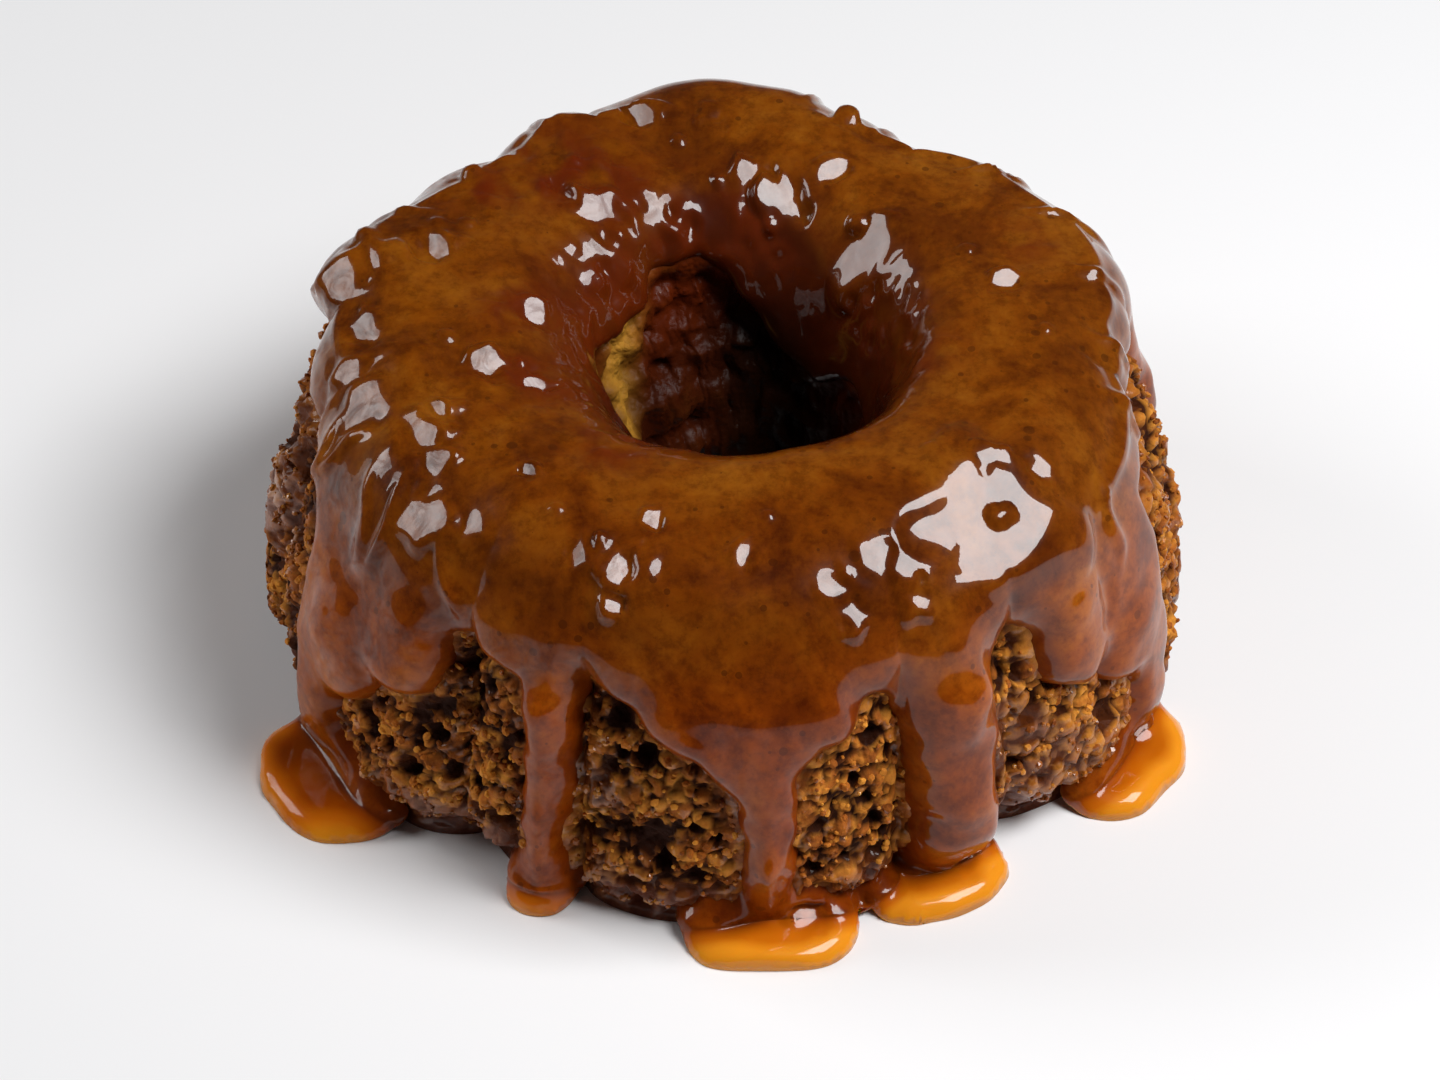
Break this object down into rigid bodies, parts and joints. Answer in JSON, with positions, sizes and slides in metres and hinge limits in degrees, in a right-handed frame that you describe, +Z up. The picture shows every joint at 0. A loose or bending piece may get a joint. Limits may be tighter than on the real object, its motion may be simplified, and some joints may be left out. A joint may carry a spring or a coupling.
{
  "type": "date cake with caramel",
  "caption": "Single-serve fluted ring cake of dark date sponge under a poured caramel coat, with drips and pools of caramel at its foot.",
  "frame": {"origin": "on the table, under the middle of the part's box, which is the cake's axis", "axes": "+Z up along the cake's axis, -Y towards the side that the picture shows, +X to that side's right"},
  "size_m": [0.1014, 0.1102, 0.0453],
  "materials": {
    "sponge": "open moist crumb, golden brown to dark brown",
    "caramel": "wet gloss, amber where thin"
  },
  "bodies": {
    "root": {"cake": "sponge", "caramel_coat": "caramel", "pool_left": "caramel", "pool_drip": "caramel", "pool_front": "caramel", "pool_front_right": "caramel", "pool_right": "caramel", "pool_back_right": "caramel", "pool_back": "caramel", "pool_back_left": "caramel"}
  },
  "joints": []
}
